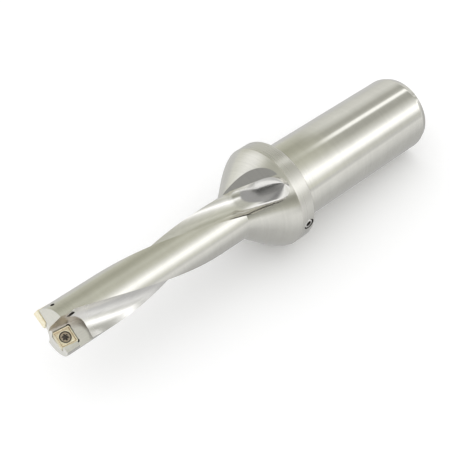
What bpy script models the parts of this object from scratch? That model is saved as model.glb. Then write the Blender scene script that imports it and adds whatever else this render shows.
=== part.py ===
"""Indexable insert drill with a plain round shank, standing on the rear face of its shank.

Metres, +Z along the drill's axis to the tip. The inner insert lies on the +X side and faces +Y,
the outer insert lies on the -X side and faces -Y.
"""
import math

import bmesh
import bpy
from mathutils import Matrix, Vector

# Shank, flange and cone
SHANK_DIAMETER = 0.025
SHANK_LENGTH = 0.058
SHANK_CHAMFER = 0.0008
SHANK_CHAMFER_LENGTH = 0.002
GROOVE_WIDTH = 0.0012
GROOVE_DEPTH = 0.0003
FLANGE_DIAMETER = 0.033
FLANGE_RIM = 0.0053
FLANGE_CHAMFER = 0.0004
CONE_LENGTH = 0.0129
CONE_BULGE = 0.00062

# Fluted body
BODY_DIAMETER = 0.0145
BODY_LENGTH = 0.0852
CORE_RADIUS = 0.0025
FLUTE_RADIUS = 0.00528
FLUTE_LEAD = 0.1675
FLUTE_HELIX_START = 0.0168
FLUTE_END = 0.0059
FLUTE_RAMP_START = 0.014
FLUTE_RAMP_ANGLE = math.radians(58.5)
FLUTE_WALL_CLEARANCE = 0.00045
STRAIGHT_LENGTH = 0.0067
FLUTE_TIP_RISE = 0.0013
FIRST_LIP_ANGLE = math.radians(12.7)
FACET_ABOVE_CONE = 0.0022
FACET_LEAN = math.radians(40.7)
FACET_HEADING = math.radians(25.6)

# Ends of the two teeth
INNER_END_DROP = 0.00075
INNER_END_RELIEF = math.radians(0.6)
INNER_END_TILT = math.radians(-1.0)
OUTER_END_START = 0.003
OUTER_END_RELIEF = math.radians(29.0)
OUTER_END_TILT = math.radians(6.0)

# Inserts and their pockets
CUT_CLEARANCE = 0.00025
INSERT_OVERLAP = 0.0028
INSERT_THICKNESS = 0.00238
INSERT_CORNER = 0.0004
INSERT_CLEARANCE_ANGLE = math.radians(11.0)
INSERT_HOLE = 0.00225
INSERT_SINK_DIAMETER = 0.0034
INSERT_SINK_DEPTH = 0.0009
INNER_TILT = math.radians(-5.8)
INNER_PAST_AXIS = 0.00012
INNER_STANDOFF = 0.00054
OUTER_TILT = math.radians(2.6)
OUTER_STANDOFF = 0.00044
SEAT_GAP = 0.0003
CORNER_HOLE = 0.0012
NOTCH_STEP = 0.00015
NOTCH_LENGTH = 0.0066
NOTCH_END_LEAN = math.radians(20.0)
NOTCH_CORNER = 0.0022
INNER_NOTCH_TILT = math.radians(-9.5)
INNER_NOTCH_GAP = 0.0007
OUTER_NOTCH_GAP = 0.0003
SIDE_NOTCH_STEP = 0.00006

# Insert screws
SCREW_LENGTH = 0.0038
TAPPED_HOLE = 0.0018
TAPPED_HOLE_PAST_SCREW = 0.0003
SCREW_FIT = 0.00028
SCREW_RECESS = 0.00015
SOCKET_WIDTH = 0.0013
SOCKET_DEPTH = 0.0007

# Coolant bore, its branches and the flange plug
REAR_BORE = 0.008
REAR_BORE_DEPTH = 0.045
REAR_BORE_CHAMFER = 0.0008
COOLANT_BORE = 0.0024
COOLANT_BORE_END = 0.0133
BRANCH_BORE = 0.0012
BRANCH_START = Vector((-0.0003, 0.0, -0.0147))
BRANCH_BEND = Vector((-0.0013, 0.0042, -0.0079))
BRANCH_EXIT = Vector((-0.0002, 0.0052, -0.0056))
BRANCH_PAST_EXIT = 0.0012
OUTLET_BORE = 0.0012
OUTLET_ANGLE = math.radians(137.5)
OUTLET_BELOW_END = 0.0036
OUTLET_DEPTH = 0.0015
PLUG_DIAMETER = 0.0031
PLUG_LENGTH = 0.0035
PLUG_RECESS = 0.00015
PLUG_FIT = 0.0003
PLUG_HOLE_DEPTH = 0.0045
PLUG_SOCKET = 0.0015
PLUG_SOCKET_DEPTH = 0.0012
PLUG_ANGLE = math.radians(17.0)
PLUG_HEIGHT = 0.0024

# Facets of round shapes
ROUND_STEPS = 72
CONE_STEPS = 6
SMALL_STEPS = 24
FLUTE_ARC_STEPS = 14
HELIX_STEP_ANGLE = math.radians(5.4)
RUNOUT_STEPS = 6
RUNOUT_ARC = math.radians(84.0)
PAST = 0.004

# Worked out from the sizes above
SHANK_RADIUS = SHANK_DIAMETER / 2
FLANGE_RADIUS = FLANGE_DIAMETER / 2
BODY_RADIUS = BODY_DIAMETER / 2
CUT_RADIUS = BODY_RADIUS + CUT_CLEARANCE
FLANGE_BACK = SHANK_LENGTH
CONE_TOP = FLANGE_BACK + FLANGE_RIM + CONE_LENGTH
BODY_END = FLANGE_BACK + BODY_LENGTH
HELIX_FROM = FLANGE_BACK + FLUTE_HELIX_START
STRAIGHT_FROM = BODY_END - STRAIGHT_LENGTH
HALF_SIDE = (CUT_RADIUS + INSERT_OVERLAP) / 4


def collection(name):
    """A new collection in the scene."""
    made = bpy.data.collections.new(name)
    bpy.context.scene.collection.children.link(made)
    return made


def material(name, colour, roughness, metallic):
    """A Principled material."""
    made = bpy.data.materials.new(name)
    made.use_nodes = True
    shader = made.node_tree.nodes["Principled BSDF"]
    shader.inputs["Base Color"].default_value = (*colour, 1.0)
    shader.inputs["Roughness"].default_value = roughness
    shader.inputs["Metallic"].default_value = metallic
    return made


def new_object(name, bm, home):
    """An object in a collection, from a bmesh with its faces turned outward."""
    bmesh.ops.recalc_face_normals(bm, faces=bm.faces)
    mesh = bpy.data.meshes.new(name)
    bm.to_mesh(mesh)
    bm.free()
    made = bpy.data.objects.new(name, mesh)
    home.objects.link(made)
    return made


def as_cutter(cutter):
    """Marks an object as a cutter that is only drawn as wire."""
    cutter.hide_render = True
    cutter.display_type = "WIRE"
    return cutter


def turned(name, profile, steps, home):
    """A solid turned about its local Z from (radius, height) points, listed from top to bottom."""
    bm = bmesh.new()
    points = [bm.verts.new((radius, 0.0, height)) for radius, height in profile]
    for first, second in zip(points, points[1:]):
        bm.edges.new((first, second))
    mesh = bpy.data.meshes.new(name)
    bm.to_mesh(mesh)
    bm.free()
    made = bpy.data.objects.new(name, mesh)
    home.objects.link(made)
    screw = made.modifiers.new("Turn", "SCREW")
    screw.steps = steps
    screw.render_steps = steps
    screw.use_merge_vertices = True
    screw.merge_threshold = 0.00001
    return made


def cut(target, cutter):
    """Takes a cutter away from an object with an exact Boolean."""
    boolean = target.modifiers.new(cutter.name, "BOOLEAN")
    boolean.operation = "DIFFERENCE"
    boolean.solver = "EXACT"
    boolean.object = as_cutter(cutter)


def block(name, low, high, home, plane=None):
    """A box between two corners, without what lies under an optional (point, normal) plane."""
    bm = bmesh.new()
    bmesh.ops.create_cube(bm, size=1.0)
    size = Vector(high) - Vector(low)
    middle = (Vector(high) + Vector(low)) / 2
    bmesh.ops.scale(bm, vec=size, verts=bm.verts)
    bmesh.ops.translate(bm, vec=middle, verts=bm.verts)
    if plane:
        point, normal = plane
        faces = bm.verts[:] + bm.edges[:] + bm.faces[:]
        bmesh.ops.bisect_plane(bm, geom=faces, plane_co=point, plane_no=normal, clear_inner=True)
        bmesh.ops.holes_fill(bm, edges=bm.edges)
    return new_object(name, bm, home)


def rod(name, start, end, radius, home, steps=SMALL_STEPS):
    """A plain round rod between two points."""
    bm = bmesh.new()
    way = Vector(end) - Vector(start)
    bmesh.ops.create_cone(bm, cap_ends=True, segments=steps, radius1=radius, radius2=radius, depth=way.length)
    made = new_object(name, bm, home)
    made.rotation_mode = "QUATERNION"
    made.rotation_quaternion = way.to_track_quat("Z", "Y")
    made.location = (Vector(start) + Vector(end)) / 2
    return made


# Blank and coolant bores
def blank(home):
    """The turned blank: shank, groove, flange rim, bulging cone and body."""
    groove_bottom = FLANGE_BACK - GROOVE_WIDTH
    profile = [(0.0, BODY_END), (BODY_RADIUS, BODY_END)]
    for step in range(CONE_STEPS + 1):
        down = step / CONE_STEPS
        bulge = CONE_BULGE * 27 / 4 * down**2 * (1 - down)
        radius = BODY_RADIUS + (FLANGE_RADIUS - BODY_RADIUS) * down + bulge
        profile.append((radius, CONE_TOP - CONE_LENGTH * down))
    profile += [
        (FLANGE_RADIUS, FLANGE_BACK + FLANGE_CHAMFER),
        (FLANGE_RADIUS - FLANGE_CHAMFER, FLANGE_BACK),
        (SHANK_RADIUS - GROOVE_DEPTH, FLANGE_BACK),
        (SHANK_RADIUS - GROOVE_DEPTH, groove_bottom),
        (SHANK_RADIUS, groove_bottom - GROOVE_DEPTH),
        (SHANK_RADIUS, SHANK_CHAMFER_LENGTH),
        (SHANK_RADIUS - SHANK_CHAMFER, 0.0),
        (0.0, 0.0),
    ]
    return turned("drill_body", profile, ROUND_STEPS, home)


def coolant_bore(home):
    """The stepped bore up the middle, open at the rear face."""
    wide = REAR_BORE / 2
    narrow = COOLANT_BORE / 2
    top = BODY_END - COOLANT_BORE_END
    profile = [
        (0.0, top + narrow),
        (narrow, top),
        (narrow, REAR_BORE_DEPTH + wide - narrow),
        (wide, REAR_BORE_DEPTH),
        (wide, REAR_BORE_CHAMFER),
        (wide + REAR_BORE_CHAMFER, 0.0),
        (wide + REAR_BORE_CHAMFER, -PAST),
        (0.0, -PAST),
    ]
    return turned("coolant bore", profile, SMALL_STEPS, home)


def coolant_branch(name, turn, home):
    """Two bores that meet in a bend: one from the middle bore, one on to a chip space's wall."""
    place = Matrix.Rotation(turn, 4, "Z") @ Matrix.Translation((0.0, 0.0, BODY_END))
    way = (BRANCH_EXIT - BRANCH_BEND).normalized()
    start = place @ BRANCH_START
    bend = place @ BRANCH_BEND
    past_bend = place @ (BRANCH_BEND + (BRANCH_BEND - BRANCH_START).normalized() * BRANCH_BORE / 2)
    end = place @ (BRANCH_EXIT + way * BRANCH_PAST_EXIT)
    lower = rod(name + " lower bore", start, past_bend, BRANCH_BORE / 2, home, SMALL_STEPS // 2)
    upper = rod(name + " upper bore", bend, end, BRANCH_BORE / 2, home, SMALL_STEPS // 2)
    return lower, upper


def coolant_outlet(home):
    """The small blind outlet in the outside of the outer tooth."""
    out = Matrix.Rotation(OUTLET_ANGLE, 3, "Z") @ Vector((1.0, 0.0, 0.0))
    height = Vector((0.0, 0.0, BODY_END - OUTLET_BELOW_END))
    start = height + out * (BODY_RADIUS - OUTLET_DEPTH)
    end = height + out * (BODY_RADIUS + PAST)
    return rod("coolant outlet", start, end, OUTLET_BORE / 2, home, SMALL_STEPS // 2)


# Flutes
def flute_section():
    """The flute's outline across the drill: x runs out along the lip, y from the lip to the heel.

    A round floor meets the lip's wall without an edge. The heel's wall is parallel to the lip's.
    Returns the points, the lowest y and the highest y.
    """
    centre = CORE_RADIUS + FLUTE_RADIUS
    cosine = (BODY_RADIUS**2 + centre**2 - FLUTE_RADIUS**2) / (2 * BODY_RADIUS * centre)
    half = math.acos(cosine)
    middle = Vector((centre * math.cos(half), centre * math.sin(half)))
    heel = BODY_RADIUS * math.sin(2 * half) + FLUTE_WALL_CLEARANCE
    last = math.pi + math.asin((heel - middle.y) / FLUTE_RADIUS)
    outside = FLANGE_RADIUS + PAST
    points = [Vector((outside, middle.y - FLUTE_RADIUS))]
    for step in range(FLUTE_ARC_STEPS + 1):
        angle = math.pi / 2 + (last - math.pi / 2) * step / FLUTE_ARC_STEPS
        points.append(middle + FLUTE_RADIUS * Vector((math.cos(angle), -math.sin(angle))))
    points.append(Vector((outside, heel)))
    return points, middle.y - FLUTE_RADIUS, heel


def helix_angle(height):
    """The angle of the first flute's lip at a height: straight, then a helix, then straight."""
    down = STRAIGHT_FROM - min(max(height, HELIX_FROM), STRAIGHT_FROM)
    return FIRST_LIP_ANGLE - 2 * math.pi * down / FLUTE_LEAD


def flute_cutter(name, turn, home):
    """One flute: its outline carried down the helix, then up a ramp that ends in a round wall.

    Along the straight length at the tip it also rises a little.
    """
    section, low, high = flute_section()
    middle = (low + high) / 2
    reach = (high - low) / 2
    twist = 2 * math.pi * (STRAIGHT_FROM - HELIX_FROM) / FLUTE_LEAD
    helix_steps = max(1, round(twist / HELIX_STEP_ANGLE))
    stations = [(BODY_END + 2 * PAST, 1.0)]
    for step in range(helix_steps + 1):
        stations.append((STRAIGHT_FROM + (HELIX_FROM - STRAIGHT_FROM) * step / helix_steps, 1.0))
    ramp_from = FLANGE_BACK + FLUTE_RAMP_START
    round_from = FLANGE_BACK + FLUTE_END + reach
    stations.append((ramp_from, 1.0))
    for step in range(RUNOUT_STEPS + 1):
        angle = RUNOUT_ARC * step / RUNOUT_STEPS
        stations.append((round_from - reach * math.sin(angle), math.cos(angle)))
    bm = bmesh.new()
    rings = []
    for height, width in stations:
        lip = helix_angle(height) + turn
        lift = max(0.0, ramp_from - height) * math.tan(FLUTE_RAMP_ANGLE)
        lift += max(0.0, height - STRAIGHT_FROM) / STRAIGHT_LENGTH * FLUTE_TIP_RISE
        ring = []
        for place, point in enumerate(section):
            lifted = lift if 0 < place < len(section) - 1 else 0.0
            across = middle + (point.y - middle) * width
            flat = Matrix.Rotation(lip, 2) @ Vector((point.x + lifted, across))
            ring.append(bm.verts.new((flat.x, flat.y, height)))
        rings.append(ring)
    count = len(section)
    for upper, lower in zip(rings, rings[1:]):
        for place in range(count):
            after = (place + 1) % count
            bm.faces.new((upper[place], upper[after], lower[after], lower[place]))
    bm.faces.new(rings[0])
    bm.faces.new(rings[-1])
    bmesh.ops.triangulate(bm, faces=bm.faces)
    return new_object(name, bm, home)


def cone_facet(name, turn, home):
    """The flat that widens the flute's mouth in the cone, on the heel's side."""
    heel = flute_section()[2]
    lean = Matrix.Rotation(FACET_HEADING, 3, "Z") @ Matrix.Rotation(FACET_LEAN, 3, "Y")
    plane = (Vector((0.0, 0.0, CONE_TOP + FACET_ABOVE_CONE)), lean @ Vector((0.0, 0.0, 1.0)))
    low = (-FLUTE_RADIUS, heel - FLUTE_WALL_CLEARANCE / 2, FLANGE_BACK)
    high = (FLANGE_RADIUS + PAST, FLANGE_RADIUS, CONE_TOP + CONE_LENGTH)
    made = block(name, low, high, home, plane)
    made.rotation_euler.z = helix_angle(HELIX_FROM) + turn
    return made


# Inserts, pockets and screws
def insert_frame(inner):
    """The place of an insert: x outward, y to the tip, z out of the rake face, origin at its middle."""
    tilt = INNER_TILT if inner else OUTER_TILT
    cosine = math.cos(tilt)
    sine = math.sin(tilt)
    if inner:
        out = HALF_SIDE * (cosine - sine) - INNER_PAST_AXIS
        standoff = INNER_STANDOFF - INNER_END_DROP
    else:
        out = CUT_RADIUS - INSERT_CORNER - (HALF_SIDE - INSERT_CORNER) * (cosine + sine)
        standoff = OUTER_STANDOFF
    height = BODY_END + standoff - HALF_SIDE * cosine
    outward = Vector((cosine, 0.0, -sine))
    forward = Vector((sine, 0.0, cosine))
    normal = Vector((0.0, 1.0, 0.0))
    frame = Matrix.Translation((out, 0.0, height)) @ Matrix((outward, forward, normal)).transposed().to_4x4()
    return frame if inner else Matrix.Rotation(math.pi, 4, "Z") @ frame


def frustum(half, top, bottom):
    """A square block whose sides lean in below the rake face, from height top down to bottom."""
    bm = bmesh.new()
    slope = math.tan(INSERT_CLEARANCE_ANGLE)
    upper = (half + top * slope) * math.sqrt(2)
    lower = (half + bottom * slope) * math.sqrt(2)
    turn = Matrix.Translation((0.0, 0.0, (top + bottom) / 2)) @ Matrix.Rotation(math.pi / 4, 4, "Z")
    bmesh.ops.create_cone(
        bm, cap_ends=True, segments=4, radius1=lower, radius2=upper, depth=top - bottom, matrix=turn
    )
    return bm


def corner_edges(bm):
    """The four edges that lean up the corners of a square block."""
    return [edge for edge in bm.edges if abs(edge.verts[0].co.z - edge.verts[1].co.z) > INSERT_CORNER]


def insert(name, inner, home, cutters):
    """A square insert with round corners and a countersunk hole."""
    bm = frustum(HALF_SIDE, 0.0, -INSERT_THICKNESS)
    bmesh.ops.bevel(bm, geom=corner_edges(bm), offset=INSERT_CORNER, segments=3, profile=0.5, affect="EDGES")
    made = new_object(name, bm, home)
    made.matrix_world = insert_frame(inner)
    hole = INSERT_HOLE / 2
    sink = INSERT_SINK_DIAMETER / 2
    profile = [
        (0.0, PAST),
        (sink, PAST),
        (sink, 0.0),
        (hole, -INSERT_SINK_DEPTH),
        (hole, -INSERT_THICKNESS - PAST),
        (0.0, -INSERT_THICKNESS - PAST),
    ]
    drill = turned(name + " hole", profile, SMALL_STEPS, cutters)
    drill.matrix_world = made.matrix_world
    cut(made, drill)
    return made


def pocket_cutter(name, inner, home):
    """The pocket: the insert's shape with the seat gap, open to the tip, and outward for the outer."""
    bm = frustum(HALF_SIDE + SEAT_GAP, 2 * NOTCH_STEP, -INSERT_THICKNESS - SEAT_GAP)
    for vertex in bm.verts:
        if vertex.co.y > 0.0:
            vertex.co.y += PAST
        if vertex.co.x > 0.0 and not inner:
            vertex.co.x += PAST
    made = new_object(name, bm, home)
    made.matrix_world = insert_frame(inner)
    return made


def corner_hole(name, inner, side, home):
    """The small round hole that clears a rear corner of an insert.

    The one at the wall runs out through the body.
    """
    frame = insert_frame(inner)
    inset = HALF_SIDE - INSERT_CORNER / 2
    floor = -INSERT_THICKNESS - SEAT_GAP
    height = FLANGE_RADIUS if side > 0 else 3 * NOTCH_STEP
    top = frame @ Vector((side * inset, -inset, height))
    bottom = frame @ Vector((side * inset, -inset, floor))
    return rod(name, top, bottom, CORNER_HOLE / 2, home, SMALL_STEPS // 2)


def screw_hole(name, inner, home):
    """The blind tapped hole in a pocket's seat."""
    frame = insert_frame(inner)
    start = frame @ Vector((0.0, 0.0, -INSERT_THICKNESS / 2))
    end = frame @ Vector((0.0, 0.0, -SCREW_LENGTH - TAPPED_HOLE_PAST_SCREW))
    return rod(name, start, end, TAPPED_HOLE / 2, home, SMALL_STEPS // 2)


def notch_block(name, inner, step, low_x, high_x, high_y, home):
    """A block over the rake face, from low_x to high_x, with the leaning end of the chip space."""
    tilt = INNER_NOTCH_TILT - INNER_TILT if inner else 0.0
    low = (low_x, -NOTCH_LENGTH - PAST, -step)
    high = (high_x, high_y, FLANGE_RADIUS)
    end = Vector((0.0, NOTCH_STEP - step - NOTCH_LENGTH, 0.0))
    lean = Vector((0.0, math.cos(NOTCH_END_LEAN), -math.sin(NOTCH_END_LEAN)))
    made = block(name, low, high, home, (end, lean))
    made.matrix_world = insert_frame(inner) @ Matrix.Rotation(-tilt, 4, "Z")
    return made


def notch_cutter(name, inner, home):
    """The chip space in front of an insert, with a round inner corner.

    The outer one runs out through the body. The inner one stops at its pocket's outer wall, which
    stands higher than the rake face.
    """
    wall = -HALF_SIDE - (INNER_NOTCH_GAP if inner else OUTER_NOTCH_GAP)
    outside = HALF_SIDE + SEAT_GAP if inner else FLANGE_RADIUS
    front = HALF_SIDE + PAST
    made = notch_block(name, inner, NOTCH_STEP, wall, outside, front, home)
    bevel = made.modifiers.new("Round inner corner", "BEVEL")
    bevel.width = NOTCH_CORNER
    bevel.segments = 4
    bevel.limit_method = "WEIGHT"
    weights = made.data.attributes.new("bevel_weight_edge", "FLOAT", "EDGE")
    for edge in made.data.edges:
        first, second = [made.data.vertices[index].co for index in edge.vertices]
        at_wall = max(first.x, second.x) < wall + NOTCH_STEP
        along_end = abs(first.z - second.z) > NOTCH_CORNER and max(first.y, second.y) < front - NOTCH_STEP
        weights.data[edge.index].value = 1.0 if at_wall and along_end else 0.0
    return made


def side_notch(name, home):
    """The part of the inner chip space that runs out through the body behind the pocket.

    It is a hair deeper than the rest, so that no two cuts share a plane.
    """
    step = NOTCH_STEP + SIDE_NOTCH_STEP
    return notch_block(name, True, step, 0.0, FLANGE_RADIUS, INSERT_CORNER - HALF_SIDE, home)


def tooth_end(name, inner, home):
    """What lies past the end face of a tooth, which falls away behind its insert."""
    relief = INNER_END_RELIEF if inner else OUTER_END_RELIEF
    tilt = INNER_END_TILT if inner else OUTER_END_TILT
    point = (0.0, 0.0, BODY_END - INNER_END_DROP) if inner else (0.0, -OUTER_END_START, BODY_END)
    lean = Matrix.Rotation(tilt, 3, "Y") @ Matrix.Rotation(relief, 3, "X")
    plane = (Vector(point), lean @ Vector((0.0, 0.0, 1.0)))
    low = (-FLANGE_RADIUS, -FLANGE_RADIUS, BODY_END - FLANGE_RADIUS)
    high = (FLANGE_RADIUS, 0.0, BODY_END + PAST * 2)
    made = block(name, low, high, home, plane)
    made.rotation_euler.z = 0.0 if inner else math.pi
    return made


def socket(name, frame, top, width, depth, home):
    """A six-sided socket sunk from height top of a frame."""
    made = rod(name, (0.0, 0.0, top - depth), (0.0, 0.0, top + PAST), width / math.sqrt(3), home, 6)
    made.matrix_world = frame @ Matrix.Translation((0.0, 0.0, top - depth / 2 + PAST / 2))
    return made


def insert_screw(name, inner, home, cutters):
    """The screw that holds an insert: a cone head in the countersink and a plain shank."""
    frame = insert_frame(inner)
    head = INSERT_SINK_DIAMETER / 2 - SCREW_FIT
    shank = TAPPED_HOLE / 2 - SCREW_FIT
    profile = [
        (0.0, -SCREW_RECESS),
        (head, -SCREW_RECESS),
        (shank, -INSERT_SINK_DEPTH - SCREW_FIT / 2),
        (shank, -SCREW_LENGTH + shank / 3),
        (shank - shank / 3, -SCREW_LENGTH),
        (0.0, -SCREW_LENGTH),
    ]
    made = turned(name, profile, SMALL_STEPS, home)
    made.matrix_world = frame
    cut(made, socket(name + " socket", frame, -SCREW_RECESS, SOCKET_WIDTH, SOCKET_DEPTH, cutters))
    return made


# Plug screw in the flange's rim
def plug_frame():
    """The plug's place: its z points out through the rim."""
    out = Matrix.Rotation(PLUG_ANGLE, 4, "Z") @ Matrix.Translation((FLANGE_RADIUS, 0.0, 0.0))
    rise = Matrix.Translation((0.0, 0.0, FLANGE_BACK + PLUG_HEIGHT))
    return rise @ out @ Matrix.Rotation(math.pi / 2, 4, "Y")


def plug_hole(home):
    """The blind hole for the plug."""
    frame = plug_frame()
    top = frame @ Vector((0.0, 0.0, PAST))
    bottom = frame @ Vector((0.0, 0.0, -PLUG_HOLE_DEPTH))
    return rod("plug hole", top, bottom, PLUG_DIAMETER / 2 + PLUG_FIT, home)


def plug(home, cutters):
    """The headless plug screw with its socket."""
    frame = plug_frame()
    radius = PLUG_DIAMETER / 2
    profile = [
        (0.0, -PLUG_RECESS),
        (radius, -PLUG_RECESS),
        (radius, -PLUG_LENGTH),
        (0.0, -PLUG_LENGTH),
    ]
    made = turned("flange_plug_screw", profile, SMALL_STEPS, home)
    made.matrix_world = frame
    cut(made, socket("plug socket", frame, -PLUG_RECESS, PLUG_SOCKET, PLUG_SOCKET_DEPTH, cutters))
    return made


def drill_body(home, cutters):
    """The whole body: the blank less its flutes, pockets, bores and holes."""
    body = blank(home)
    cut(body, coolant_bore(cutters))
    for number, turn in enumerate((0.0, math.pi)):
        cut(body, flute_cutter(f"flute {number}", turn, cutters))
        cut(body, cone_facet(f"cone facet {number}", turn, cutters))
    for inner in (True, False):
        which = "inner" if inner else "outer"
        cut(body, tooth_end(f"{which} tooth end", inner, cutters))
        cut(body, notch_cutter(f"{which} notch", inner, cutters))
        cut(body, pocket_cutter(f"{which} pocket", inner, cutters))
        cut(body, screw_hole(f"{which} screw hole", inner, cutters))
        cut(body, corner_hole(f"{which} corner hole near the axis", inner, -1, cutters))
        if inner:
            cut(body, side_notch("inner side notch", cutters))
            cut(body, corner_hole("inner corner hole at the wall", inner, 1, cutters))
    for inner in (True, False):
        which = "inner" if inner else "outer"
        turn = 0.0 if inner else math.pi
        for bore in coolant_branch(f"coolant branch to the {which} insert", turn, cutters):
            cut(body, bore)
    cut(body, coolant_outlet(cutters))
    cut(body, plug_hole(cutters))
    return body


def main():
    """Builds the drill."""
    for old in list(bpy.data.objects):
        bpy.data.objects.remove(old)
    home = collection("Indexable drill")
    cutters = collection("Cutters")
    steel = material("Ground steel", (0.60, 0.59, 0.56), 0.28, 1.0)
    coating = material("Gold insert coating", (0.83, 0.70, 0.42), 0.35, 1.0)
    dark_steel = material("Screw steel", (0.32, 0.31, 0.29), 0.38, 1.0)
    body = drill_body(home, cutters)
    body.data.materials.append(steel)
    for inner in (True, False):
        which = "inner" if inner else "outer"
        insert(f"{which}_insert", inner, home, cutters).data.materials.append(coating)
        insert_screw(f"{which}_insert_screw", inner, home, cutters).data.materials.append(dark_steel)
    plug(home, cutters).data.materials.append(dark_steel)


if __name__ == "__main__":
    main()
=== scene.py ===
"""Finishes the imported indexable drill: smooth steel, gold inserts and socket screws.

Metres, +Z along the drill's axis to the tip. The inner insert lies on the +X side and faces +Y,
the outer insert lies on the -X side and faces -Y.
"""
import math

import bpy
import numpy as np
from bpy.props import FloatProperty, FloatVectorProperty, IntProperty, PointerProperty
from mathutils import Matrix, Vector


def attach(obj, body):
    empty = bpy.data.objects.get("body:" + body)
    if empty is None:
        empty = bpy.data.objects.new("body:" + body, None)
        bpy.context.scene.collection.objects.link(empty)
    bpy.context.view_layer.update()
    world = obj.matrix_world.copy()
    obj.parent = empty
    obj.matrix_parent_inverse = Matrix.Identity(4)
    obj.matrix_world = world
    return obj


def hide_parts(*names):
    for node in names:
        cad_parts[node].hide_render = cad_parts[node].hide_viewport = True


bl_info = {
    "name": "Indexable Drill Finish",
    "version": (1, 0, 0),
    "blender": (4, 5, 0),
    "location": "View3D > Sidebar > Drill",
    "description": "Smooth steel, gold inserts and socket screws for a drill, on a pale floor",
    "category": "Object",
}

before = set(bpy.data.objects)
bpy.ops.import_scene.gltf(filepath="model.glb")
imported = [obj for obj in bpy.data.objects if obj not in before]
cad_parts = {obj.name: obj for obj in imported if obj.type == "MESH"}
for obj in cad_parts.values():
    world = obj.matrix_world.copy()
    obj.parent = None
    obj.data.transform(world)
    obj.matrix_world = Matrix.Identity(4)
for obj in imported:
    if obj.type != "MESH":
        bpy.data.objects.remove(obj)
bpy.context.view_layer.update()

# The finishes of each kind of piece, and the places of the body's in its list
# Painted shade steel is a near-black put in holes, bores and sockets: painted shade inside them
BODY_FINISHES = ("Ground steel", "Milled steel", "Painted shade steel", "Painted shade wall steel")
# Painted shade wall steel is a darker steel that paints the shade on the chip spaces' walls
GROUND, MILLED, PAINTED_SHADE, PAINTED_WALL_SHADE = range(4)
# Painted shade gold coating is a browner gold that paints the shade in the inserts' chip grooves
INSERT_FINISHES = ("Gold insert coating", "Painted shade gold coating", "Painted shade steel")
SCREW_FINISHES = ("Screw steel", "Painted shade steel", "Milled steel")
# Coatings: the colour's property, how metallic and how rough it is, and the grain's height
COATINGS = {
    "Gold insert coating": ("gold_coating", 0.5, 0.3, 0.000004),
    "Painted shade gold coating": ("brown_coating", 0.5, 0.35, 0.000004),
    "Screw steel": ("screw_steel", 0.9, 0.3, 0.000005),
    "Painted shade steel": ("dark_steel", 0.8, 0.42, 0.000005),
    "Painted shade wall steel": ("wall_steel", 0.9, 0.4, 0.000005),
}

# Heights along the drill between which a finish changes
SHANK_TO_RIM = (0.0574, 0.0582)
# RIM_START and RIM_END bound a painted darker reflection on the flange's rim
RIM_START = (0.0580, 0.0584)
RIM_END = (0.0630, 0.0636)
RIM_TO_CONE = (0.0628, 0.0640)
MOUTH_TO_FLUTE = (0.078, 0.11)
FLUTE_TO_TIP = (0.1322, 0.1345)

# Points round and along the surfaces
CONE_ROWS = 40
FLUTE_STEPS = 56
FLUTE_ROWS = 150
RUNOUT_ROWS = 20
BORE_STEPS = 96
INSERT_STEPS = 320
SCREW_STEPS = 192
THREAD_ROWS = 46
PLUG_STEPS = 144
PLUG_HOLE_STEPS = 72

# How far a cutter reaches past what it cuts, and how far the side notch stays off other planes
PAST = 0.004
SIDE_NOTCH_STEP = 0.00006
# How far round a quarter circle a flute's width shrinks at its end
RUNOUT_DEGREES = 84.0
# A coolant branch's start, its bend and where it leaves, from the middle of the body's end, and
# how far its cutter goes on from there
BRANCH_POINTS = ((-0.0003, 0.0, -0.0147), (-0.0013, 0.0042, -0.0079), (-0.0002, 0.0052, -0.0056))
BRANCH_PAST = 0.0012
OUTLET_DEPTH = 0.0015
PLUG_HOLE_DEPTH = 0.0045
# Room below an insert's screw and round the plug screw
HOLE_ROOM = 0.0003
SMALLEST_CORNER = 0.0001
# How much an insert's points crowd at its corners, and the width of the raised ring at its hole
CORNER_CROWDING = 0.14
RAISED_RING = 0.0003
THREAD_DEPTH = 0.00007

# The view: its right and up as shares of across, toward and axis, and the camera's place
VIEW_RIGHT = (0.5414, 0.4243, -0.7259)
VIEW_UP = (-0.8408, 0.2711, -0.4686)
CAMERA_TOWARD = 0.2687
CAMERA_OVER_FLANGE = 0.1785

WHITE = (1.0, 1.0, 1.0, 1.0)
# What gloss sees of the sky: levels by the angle in degrees of a ray round the axis
SKY_STRENGTH = 1.5
SHANK_BANDS = (
    (-180.0, 0.78), (-166.0, 0.74), (-142.0, 0.66), (-100.0, 0.55), (20.0, 0.55), (38.0, 0.65),
    (50.0, 0.66), (56.0, 0.95), (62.0, 1.30), (70.0, 1.50), (76.0, 1.40), (83.0, 1.02),
    (90.0, 0.78), (98.0, 0.62), (108.0, 0.45), (120.0, 0.44), (127.0, 0.50), (130.0, 1.30),
    (138.0, 1.30), (141.0, 0.52), (150.0, 0.44), (158.0, 0.48), (166.0, 0.64), (180.0, 0.78),
)
BODY_BANDS = (
    (-180.0, 0.47), (-174.0, 0.50), (-158.0, 0.58), (-142.0, 0.70), (-100.0, 0.60),
    (20.0, 0.60), (38.0, 0.70), (46.0, 0.76), (52.0, 0.90), (58.0, 1.12), (66.0, 1.35),
    (74.0, 1.45), (82.0, 1.20), (90.0, 0.93), (98.0, 0.76), (106.0, 0.65), (122.0, 0.55),
    (138.0, 0.60), (154.0, 0.47), (170.0, 0.41), (180.0, 0.46),
)
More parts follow.
